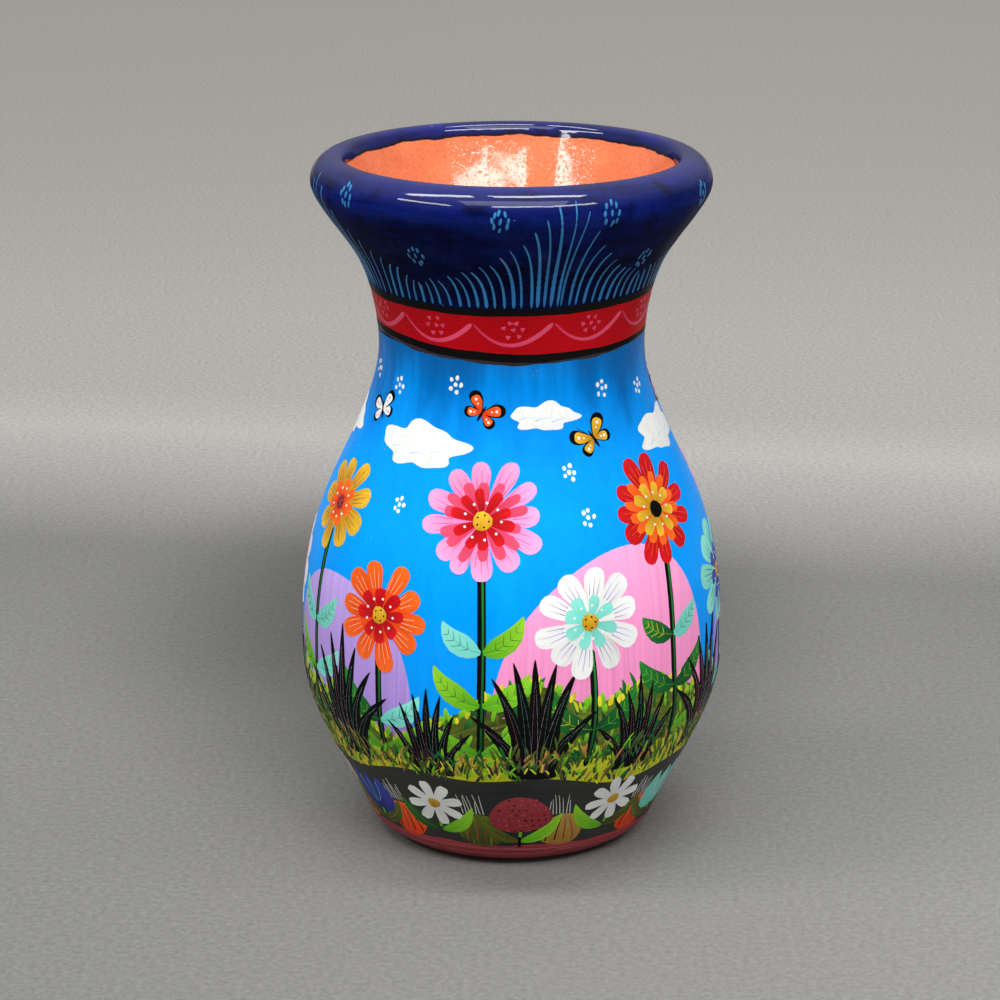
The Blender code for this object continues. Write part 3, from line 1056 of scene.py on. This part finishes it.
HILLS = [
    (30, 64, 92, 124, "pink"), (-56, 60, 76, 104, "lilac"), (98, 60, 76, 100, "lilac"),
    (158, 64, 92, 118, "pink"), (-130, 64, 90, 116, "pink"),
]
for angle, height, wide, tall, paint in HILLS:
    dab("land", paint, 0, (angle, height), (0, 0), wide, tall, 0.0, None, "hill")
band("land", "olive", 2, level(36.0), wood_top, "wide_hoop")
band("land", "meadow", 8, level(34.0), meadow_top, "wide_hoop")
band("land", "charcoal", 20, lambda a: 8.6 + freehand(a, 0.3, 7.0), earth_top, "wide_hoop")
lay_paint("land")

# %% Paint the wood and the grass
def tufts(motif, count, edge, scatter, paints, coat, length, width, lean):
    """Short dabs scattered about an edge line, each a pressed and lifted brush."""
    for k in range(count):
        angle = 360.0 * (k + hand.uniform(-0.4, 0.4)) / count - 180.0
        height = float(edge(math.radians(angle))) + hand.uniform(*scatter)
        long = length * hand.uniform(0.6, 1.3)
        tip = hand.uniform(-lean, lean)
        bend = tip * hand.uniform(0.1, 0.5)
        stroke(motif, hand.choice(paints), coat + hand.uniform(0, 1.5), (angle, height),
               [(0, 0), (bend, long * 0.6), (tip, long)], width * hand.uniform(0.7, 1.3), "leaf", "wisp")


SHADY = ["leaf", "olive", "charcoal", "leaf", "lime"]
DRY = ["olive", "ochre", "leaf", "lime", "olive"]
DARK = ["olive", "leaf", "ochre", "charcoal", "olive"]
tufts("wood", 520, wood_top, (-20.0, -3.0), SHADY, 4, 7.0, 2.4, 4.0)
tufts("wood", 400, wood_top, (-5.0, -0.5), ["lime", "yellow", "lime", "meadow"], 6, 4.5, 2.6, 2.5)
lay_paint("wood")
tufts("grass", 560, meadow_top, (-10.0, -1.0), DRY, 21, 6.5, 1.7, 5.0)
tufts("grass", 360, earth_top, (-2.0, 6.0), DARK, 23, 6.5, 1.9, 5.0)
tufts("grass", 170, earth_top, (-1.0, 4.0), ["yellow", "lime"], 25, 4.5, 1.3, 3.0)
lay_paint("grass")

# %% [markdown]
# ## Garden flowers
# Twelve tall flowers grow round the body, high and low by turns, so that no side is empty. Each has a dark
# stem, a few pairs of leaves with ribs, and a head of two or three rings of petals with fine veins and a
# dotted heart. Black spiky plants stand between them.

# %% Write a leaf and a flower head
WHITE_DOTS, BLACK_DOTS = 9, 5


def leaf(spot, path, width, paint, rib):
    """A leaf with a rib and side veins."""
    stroke("leaves", paint, 13, spot, path, width, "leaf", "petal")
    stroke("leaves", rib, 16, spot, path, 0.7, "hair", "hair")
    (x0, y0), (x2, y2) = path[0], path[2]
    run = math.hypot(x2 - x0, y2 - y0)
    fx, fy = (x2 - x0) / run, (y2 - y0) / run
    for k in range(1, 5):
        t = 0.16 * k + 0.08
        x, y = bent(path, t)
        reach = width * 0.34 * math.sin(math.pi * (t + 0.08))
        for side in (-1, 1):
            tip = (x + fx * reach - fy * side * reach, y + fy * reach + fx * side * reach)
            middle = ((x + tip[0]) / 2, (y + tip[1]) / 2)
            stroke("leaves", rib, 16, spot, [(x, y), middle, tip], 0.45, "hair", "wisp")


def petal_ring(spot, paint, coat, petals, start, reach, turn):
    """A ring of petals about a spot. Returns each petal's direction and reach."""
    made = []
    width = math.tau * reach * 0.74 / petals * 1.12
    for k in range(petals):
        angle = turn + math.tau * k / petals + hand.uniform(-0.08, 0.08)
        far = reach * hand.uniform(0.9, 1.06)
        c, s = math.cos(angle), math.sin(angle)
        aside = hand.uniform(-0.08, 0.08) * reach
        middle = (far * 0.6 * c - aside * s, far * 0.6 * s + aside * c)
        path = [ray(angle, start), middle, ray(angle, far)]
        wide = width * hand.uniform(0.88, 1.1)
        stroke("blossoms", paint, coat + 0.8 * (k % 2), spot, path, wide, "petal", "petal")
        made.append((angle, far))
    return made


def blossom(spot, size, petals, outer, inner, heart, vein, turn):
    """A flower head: two rings of petals, or three on a full one, with veins and a dotted heart."""
    for angle, far in petal_ring(spot, outer, 22, petals, size * 0.15, size, turn):
        for swing in (-0.14, 0.0, 0.14):
            stop = far * (0.9 if swing == 0.0 else 0.8)
            path = [ray(angle + swing, reach) for reach in (0.45 * size, 0.65 * size, stop)]
            stroke("blossoms", vein, 26, spot, path, 0.55, "hair", "wisp")
    if petals > 10:
        petal_ring(spot, vein, 27, petals + 2, size * 0.1, size * 0.7, turn + 0.15)
    petal_ring(spot, inner, 29, petals - 2, size * 0.08, size * 0.52, turn + 0.3)
    dab("blossoms", heart, 32, spot, (0, 0), size * 0.44, size * 0.44)
    for k in range(WHITE_DOTS):
        dab("blossoms", "white", 35, spot, ray(math.tau * k / WHITE_DOTS, size * 0.3), 1.3, 1.3)
    for k in range(BLACK_DOTS):
        dab("blossoms", "black", 35, spot, ray(math.tau * k / BLACK_DOTS, size * 0.1), 1.0, 1.0)


print("a flower's heart has", WHITE_DOTS, "white dots round", BLACK_DOTS, "black ones")

# %% Paint the flowers
FLOWER_FOOT = 46.0
LEAF_PAINTS = [("leaf", "lime"), ("leaf", "yellow"), ("lime", "leaf"), ("aqua", "leaf")]
FLOWERS = [
    (-66, 132, 18, 9, "mustard", "orange", "maroon", "maroon"),
    (-38, 100, 20, 10, "orange", "red", "mustard", "peach"),
    (-9, 136, 22, 12, "pink", "red", "mustard", "rose"),
    (21, 101, 20, 10, "white", "aqua", "mustard", "lilac"),
    (50, 134, 20, 11, "red", "mustard", "black", "orange"),
    (81, 102, 20, 9, "aqua", "navy", "mustard", "navy"),
    (111, 134, 20, 11, "pink", "white", "mustard", "rose"),
    (141, 101, 19, 9, "mustard", "red", "black", "maroon"),
    (171, 135, 20, 10, "orange", "mustard", "maroon", "peach"),
    (-158, 101, 20, 9, "red", "pink", "mustard", "peach"),
    (-127, 135, 20, 11, "lilac", "navy", "mustard", "white"),
    (-97, 101, 20, 9, "white", "orange", "mustard", "pink"),
]
for angle, height, size, petals, outer, inner, heart, vein in FLOWERS:
    rise = float(up_to(height) - up_to(FLOWER_FOOT))
    sway = hand.uniform(-5.0, 5.0)
    spot = (angle, FLOWER_FOOT)
    neck = rise - 0.48 * size
    stroke("stems", "black", 9, spot, [(0, 0), (sway, rise * 0.5), (0, neck)], 3.2, "line", "stem")
    stroke("stems", "leaf", 11, spot, [(0.4, 2), (sway + 0.4, rise * 0.5), (0.4, neck)], 1.1, "line", "stem")
    pairs = 2 if height < 110 else 3
    for pair in range(pairs):
        base = rise * (0.08 + 0.21 * pair)
        at = 2 * (base / rise) * (1 - base / rise) * sway
        long = 25.0 - 3.5 * pair
        for side in (-1, 1):
            tip = (at + side * long * 0.8, base + long * hand.uniform(0.5, 0.8))
            path = [(at, base), (at + side * long * 0.6, base + long * 0.08), tip]
            paint, rib = hand.choice(LEAF_PAINTS)
            leaf(spot, path, 8.6, paint, rib)
    blossom((angle, height), size, petals, outer, inner, heart, vein, hand.uniform(0, 0.6))
for motif in ("stems", "leaves", "blossoms"):
    lay_paint(motif)

# %% Paint the spiky plants
SPIKE_FOOT = 42.0
SPIKES = [
    (-52, 1.0), (-23, 0.7), (6, 1.0), (36, 0.75), (66, 1.0), (96, 0.7), (126, 1.0), (156, 0.75),
    (-174, 1.0), (-143, 0.7), (-112, 1.0), (-81, 0.75),
]
for angle, scale in SPIKES:
    spot = (angle, SPIKE_FOOT)
    for k in (0, 6, 1, 5, 2, 4, 3):
        swing = (k - 3) / 3.0
        long = scale * (50.0 - 21.0 * swing * swing) * hand.uniform(0.92, 1.08)
        path = [(swing * 5.0, 0), (swing * 7.0, long * 0.6), (swing * 23.0 * scale, long)]
        coat = 17.0 + 0.8 * (3 - abs(k - 3))
        stroke("spikes", "black", coat, spot, path, 9.0 * scale, "blade", "stem")
        vein = [(swing * 5.0, 5.0), (swing * 7.0, long * 0.55), (swing * 18.0 * scale, long * 0.84)]
        for aside in (-1.1 * scale, 1.1 * scale):
            line = [(x + aside, y) for x, y in vein[:2]] + [vein[2]]
            paint = hand.choice(["white", "aqua", "pink"])
            stroke("spikes", paint, coat + 2.4, spot, line, 0.6, "hair", "hair")
lay_paint("spikes")

# %% [markdown]
# ## Butterflies
# Seven butterflies fly between the flowers and the clouds. A wing is a drop pressed from the body outwards,
# with a black edge under it and two spots on it.

# %% Paint the butterflies
def butterfly(spot, size, turn, wing, spots):
    """A butterfly with four wings, a body and two feelers."""
    for side in (-1, 1):
        for tilt, reach, wide in ((0.62, 1.0, 0.72), (-0.42, 0.78, 0.6)):
            angle = math.pi / 2 - side * (math.pi / 2 - tilt) + turn
            far = size * reach
            for paint, coat, grow in (("black", 5, 1.0), (wing, 8, 0.8)):
                path = [(0, 0), ray(angle, far * 0.5), ray(angle, far * grow)]
                broad = size * wide * (0.3 + 0.7 * grow)
                stroke("butterflies", paint, coat, spot, path, broad, "drop", "petal")
            for step, dot in ((0.62, 0.16), (0.42, 0.1)):
                dab("butterflies", spots, 11, spot, ray(angle, far * step), size * dot, size * dot)
        feeler = math.pi / 2 - side * 0.4 + turn
        x, y = ray(feeler, size * 0.75)
        path = [(0, 0), ray(feeler, size * 0.4), (x + side * 0.8, y)]
        stroke("butterflies", "black", 9, spot, path, 0.5, "hair", "wisp")
    up = turn + math.pi / 2
    body = [ray(up, -size * 0.42), (0, 0), ray(up, size * 0.36)]
    stroke("butterflies", "black", 12, spot, body, size * 0.15, "leaf", "stroke")


BUTTERFLIES = [
    (32, 161, 9.5, 0.5, "mustard", "white"), (-12, 171, 8.5, -0.5, "orange", "white"),
    (-62, 166, 8.5, 0.4, "white", "pink"), (92, 166, 9.0, -0.3, "pink", "white"),
    (140, 160, 9.5, 0.4, "white", "orange"), (-170, 174, 8.5, -0.4, "orange", "white"),
    (-122, 168, 9.0, 0.3, "mustard", "white"),
]
for angle, height, size, turn, wing, spots in BUTTERFLIES:
    butterfly((angle, height), size, turn, wing, spots)
lay_paint("butterflies")

# %% [markdown]
# ## The lower garden
# On the dark earth stand small plants: maroon seed heads with rows of dashes, white daisies, orange poppies,
# and turquoise and blue tulips. Between them lie round mounds in ochre, orange and olive with a few dark
# lines, and fine pale grass.

# %% Write the small plants
DAISY_PETALS = 8


def daisy(spot, size, paint, heart):
    """A small flat flower."""
    for k in range(DAISY_PETALS):
        angle = math.tau * k / DAISY_PETALS + 0.2
        path = [(0, 0), ray(angle, size * 0.5), ray(angle, size)]
        stroke("border", paint, 33, spot, path, size * 0.62, "petal", "stroke")
    dab("border", heart, 36, spot, (0, 0), size * 0.6, size * 0.6)


def tulip(spot, size, paint, line):
    """A cup of three petals, with three lines on it."""
    for tip in (-0.55, 0.55, 0.0):
        path = [(0, -size * 0.7), (tip * size * 1.5, -size * 0.2), (tip * size, size * 0.8)]
        stroke("border", paint, 33 + (tip == 0.0), spot, path, size * 0.95, "leaf", "petal")
    for tip in (-0.5, 0.0, 0.5):
        path = [(0, -size * 0.5), (tip * size, 0), (tip * size * 0.8, size * 0.6)]
        stroke("border", line, 37, spot, path, 0.5, "hair", "wisp")


def seed_head(spot, size):
    """A round maroon head with rows of dashes, on a short stem."""
    dab("border", "maroon", 33, spot, (0, 0), size * 2.0, size * 1.7, 0.0, None, "patch")
    for row in range(-3, 4):
        half = math.sqrt(max(0.0, 1 - (row / 3.8) ** 2)) * size * 0.86
        count = int(half * 2 / 2.2)
        for k in range(count):
            left = -half + (k + 0.5 + 0.25 * (row % 2)) * 2 * half / max(1, count)
            paint = hand.choice(["rose", "red", "rose", "black"])
            dab("border", paint, 37, spot, (left, row * size * 0.24), 1.5, 0.8)
    path = [(0, -size), (0, -size * 1.2), (0, -size * 1.5)]
    stroke("border", "black", 30, spot, path, 1.4, "line", "stroke")


print("a daisy has", DAISY_PETALS, "petals")

# %% Paint the lower garden
PLANTS = 12
BORDER = ["seed", "daisy", "tulip", "poppy", "blue_tulip", "daisy"]
MOUNDS = ["ochre", "orange", "olive"]
for k in range(PLANTS):
    angle = -176.0 + 30.0 * k + hand.uniform(-2.0, 2.0)
    height = 24.0 + 3.0 * (k % 2)
    kind = BORDER[k % len(BORDER)]
    mound = (angle + 15.0, 17.0)
    dab("border", MOUNDS[k % len(MOUNDS)], 23, mound, (0, 0), 17.0, 17.0, 0.0, None, "patch")
    for line in (-4.0, -1.3, 1.3, 4.0):
        path = [(line * 1.3, -6.0), (line * 1.2, 0.0), (line * 0.5, 7.0)]
        stroke("border", hand.choice(["maroon", "black"]), 26, mound, path, 0.8, "hair", "stroke")
    for side in (-1, 1):
        long = hand.uniform(14.0, 17.0)
        path = [(0, -4), (side * long * 0.7, -2), (side * long, long * 0.7)]
        paint = hand.choice(["leaf", "olive", "lime"])
        stroke("border", paint, 28, (angle, height - 8), path, 6.4, "leaf", "petal")
        stroke("border", "orange", 31, (angle, height - 8), path, 0.7, "hair", "hair")
    stroke("border", "lime", 29, (angle, height), [(0, -12), (0.6, -6), (0, 0)], 1.5, "line", "stroke")
    if kind == "seed":
        seed_head((angle, height + 1), 11.5)
    elif kind == "daisy":
        daisy((angle, height + 1), 11.5, "white", "mustard")
    elif kind == "tulip":
        tulip((angle, height), 12.5, "aqua", "white")
    elif kind == "poppy":
        daisy((angle, height), 11.5, "orange", "maroon")
    else:
        tulip((angle, height), 12.0, "navy", "aqua")
    for blade in range(7):
        left = 10.5 + blade * 1.25
        path = [(left, 0), (left, 6), (left + hand.uniform(-1, 1), hand.uniform(8, 13))]
        stroke("border", "white", 27, (angle, 24.0), path, 0.55, "hair", "wisp")
lay_paint("border")

# %% [markdown]
# ## The floor
# The vase stands on grey paper, and light and shade on it are painted into its colour: dark in front and
# light behind, like a sheet that bends up into a backdrop. A bent sheet would do it, but a wide plane whose
# colour changes from front to back is simpler and shows no edge from any side. In front the paper is painted
# lighter towards the right. A soft dark pool behind the vase is a painted shadow, and a fine noise stands
# for the paper's fibre.

# %% Lay the floor
bpy.ops.mesh.primitive_plane_add(size=60.0)
floor = bpy.context.object
floor.name = "studio_floor"
floor_paint = bpy.data.materials.new("studio_grey")
floor_paint.use_nodes = True
tree = floor_paint.node_tree
shader = tree.nodes["Principled BSDF"]
shader.inputs["Roughness"].default_value = 0.8
place = wire(tree, "ShaderNodeTexCoord").outputs["Object"]
axes = wire(tree, "ShaderNodeSeparateXYZ", Vector=place)
back = reckon(tree, "MULTIPLY_ADD", axes.outputs[0], 0.16, axes.outputs[1])
# Painted light and shade: the paper is dark in front, darker still in a band, then light behind.
paper_and_painted_light = ramp(tree, spread(tree, back, -1.0, 2.0), [
    (0.0, (0.154, 0.152, 0.146, 1.0)), (0.26, (0.154, 0.152, 0.146, 1.0)),
    (0.34, (0.165, 0.163, 0.156, 1.0)), (0.44, (0.15, 0.148, 0.142, 1.0)),
    (0.508, (0.355, 0.347, 0.326, 1.0)), (0.535, (0.322, 0.313, 0.291, 1.0)),
    (0.6, (0.354, 0.342, 0.316, 1.0)), (0.72, (0.376, 0.361, 0.331, 1.0)),
    (1.0, (0.437, 0.418, 0.379, 1.0)),
])
fibre = noise(tree, place, 420.0, 3.0, 0.7)
# Painted light: in front, the paper grows lighter towards the right.
tilt = spread(tree, back, -0.05, 0.25, 0.75, 0.06)
aside = spread(tree, axes.outputs[0], -0.2, 0.2, -0.2, 0.2)
shade = reckon(tree, "MULTIPLY_ADD", aside, tilt, 0.505)
shade = reckon(tree, "MULTIPLY_ADD", fibre, 1.05, shade)
# Painted shadow: a soft dark pool on the floor behind the vase.
shadow_pool_spot = {"Location": (-0.02, 0.24, 0.0), "Scale": (1.0, 1.4, 1.0)}
flat = wire(tree, "ShaderNodeMapping", vector_type="TEXTURE", Vector=place, **shadow_pool_spot).outputs[0]
far = wire(tree, "ShaderNodeVectorMath", operation="LENGTH", Vector=flat).outputs["Value"]
painted_shadow = wire(tree, "ShaderNodeMapRange", interpolation_type="SMOOTHSTEP", Value=far,
           From_Min=0.05, From_Max=0.19, To_Min=0.4, To_Max=1.0).outputs[0]
colour = shaded(tree, paper_and_painted_light, reckon(tree, "MULTIPLY", shade, painted_shadow))
tree.links.new(colour, shader.inputs["Base Color"])
floor.data.materials.append(floor_paint)
floor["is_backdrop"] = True
print("floor:", floor_paint.name, "from", len(tree.nodes), "nodes")

# %% [markdown]
# ## Light
# Two long panels on the ceiling draw the bright lines along the glossy rim. Three windows, one in front and
# one to each side, are what the clay inside the mouth reflects. A broad, weak panel in front fills the
# painting with light, and a dim room, lighter above, keeps the shadows open.

# %% Hang the lights
def panel(name, place, aim, width, height, radiance):
    """A soft rectangular light that faces its aim. Its power follows from how bright it looks."""
    bpy.ops.object.light_add(type="AREA", location=place)
    lamp = bpy.context.object
    lamp.name = name
    lamp.data.shape = "RECTANGLE"
    lamp.data.size = width
    lamp.data.size_y = height
    lamp.data.energy = radiance * math.pi * width * height
    away = lamp.location - mathutils.Vector(aim)
    lamp.rotation_euler = away.to_track_quat("Z", "Y").to_euler()
    print(name, "with %.1f W" % lamp.data.energy)


MOUTH = (0.0, 0.05, 0.24)
panel("ceiling_right", (0.2, -0.12, 1.45), (0.2, -0.12, 0.0), 0.71, 0.2, 16.0)
panel("ceiling_left", (-0.66, -0.12, 1.45), (-0.66, -0.12, 0.0), 0.72, 0.2, 16.0)
panel("window_front", (0.055, -1.2, 1.127), MOUTH, 0.69, 0.152, 19.0)
panel("window_right", (0.7, -0.986, 1.077), MOUTH, 0.71, 0.145, 19.0)
panel("window_left", (-1.011, -0.685, 1.012), MOUTH, 0.76, 0.119, 19.0)
panel("front_fill", (0.0, -1.2, 1.75), (0.0, 0.0, 0.12), 1.8, 0.7, 3.2)

# %% Light the room
world = bpy.data.worlds.new("studio")
bpy.context.scene.world = world
world.use_nodes = True
tree = world.node_tree
around = wire(tree, "ShaderNodeTexCoord").outputs["Generated"]
axes = wire(tree, "ShaderNodeSeparateXYZ", Vector=around)
colour = ramp(tree, axes.outputs[2], [
    (0.0, (0.22, 0.22, 0.225, 1.0)), (0.5, (0.6, 0.6, 0.605, 1.0)), (1.0, (1.1, 1.1, 1.1, 1.0)),
])
tree.links.new(colour, tree.nodes["Background"].inputs["Color"])
tree.nodes["Background"].inputs["Strength"].default_value = 0.8
print("room:", world.name)

# %% [markdown]
# ## Measure and finish
# The last cell measures the box of the dressed vase.

# %% Finish
low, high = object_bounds()
